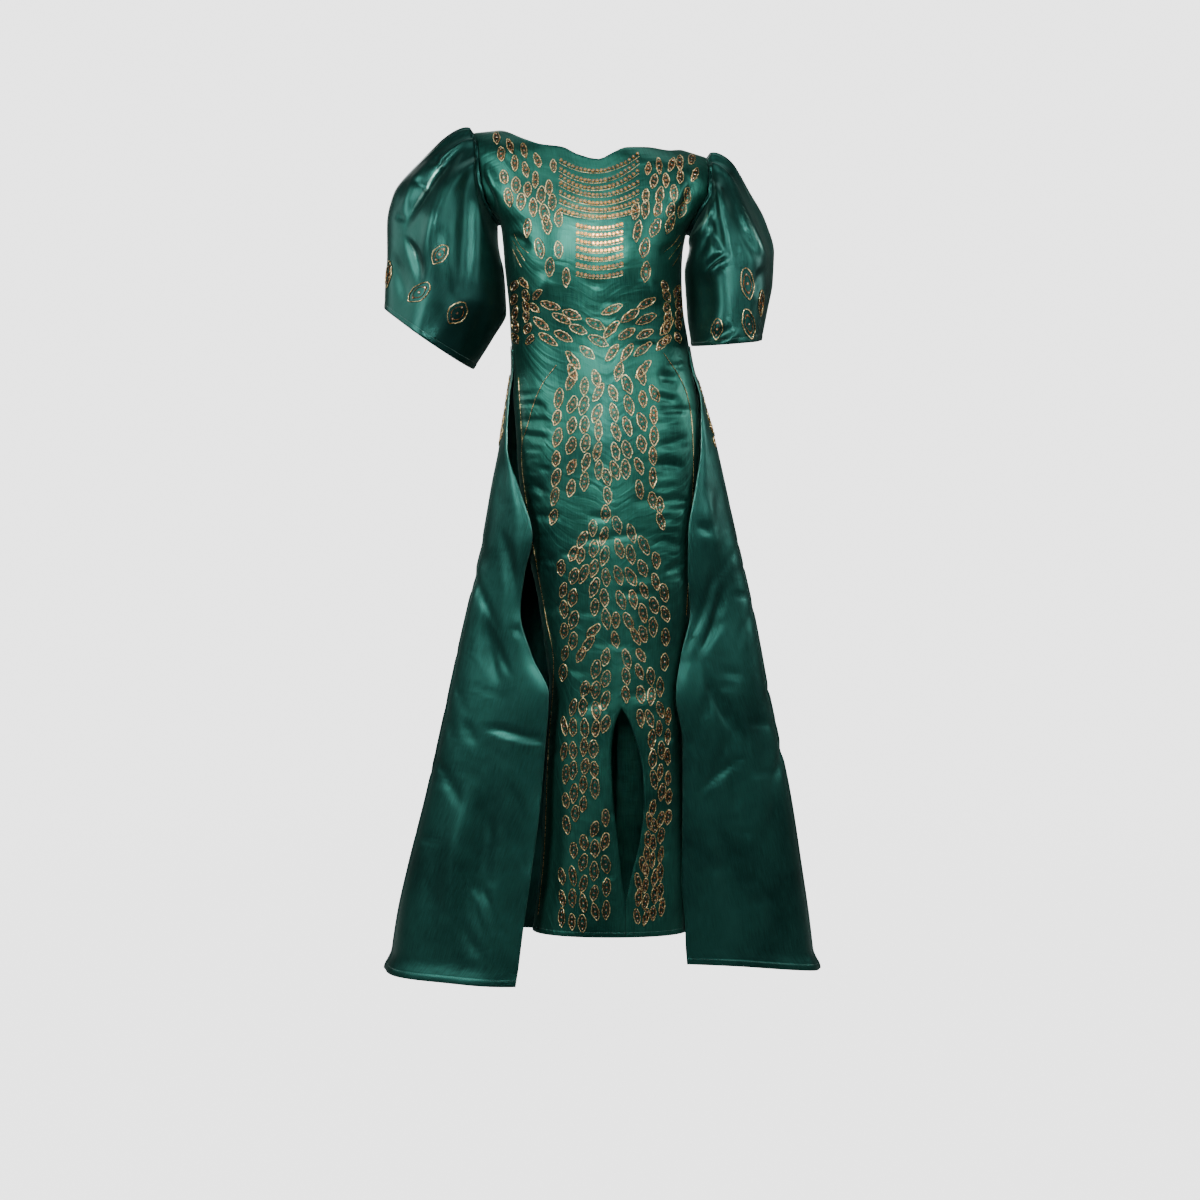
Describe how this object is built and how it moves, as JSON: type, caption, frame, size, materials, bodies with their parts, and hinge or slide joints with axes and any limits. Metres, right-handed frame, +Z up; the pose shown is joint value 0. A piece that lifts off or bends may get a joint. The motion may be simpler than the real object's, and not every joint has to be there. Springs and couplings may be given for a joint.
{
  "type": "satin gown",
  "caption": "Worn satin column gown with a boat neck, gathered elbow-length puff sleeves, a front slit and a flared open-front overskirt.",
  "frame": {"origin": "midway between the two shoulder tips, where the wearer's shoulders carry the gown", "axes": "+Z up along the body, +X towards the wearer's left, -Y towards the front"},
  "size_m": [0.7559, 0.4698, 1.4406],
  "materials": {
    "satin_dress": "emerald satin, soft directional sheen",
    "satin_sleeves": "emerald satin, soft directional sheen",
    "satin_overskirt": "emerald satin, soft directional sheen"
  },
  "bodies": {
    "root": {"front": "satin_dress", "back_left": "satin_dress", "back_right": "satin_dress", "sleeve_left": "satin_sleeves", "sleeve_right": "satin_sleeves", "overskirt_left": "satin_overskirt", "overskirt_right": "satin_overskirt"}
  },
  "joints": []
}
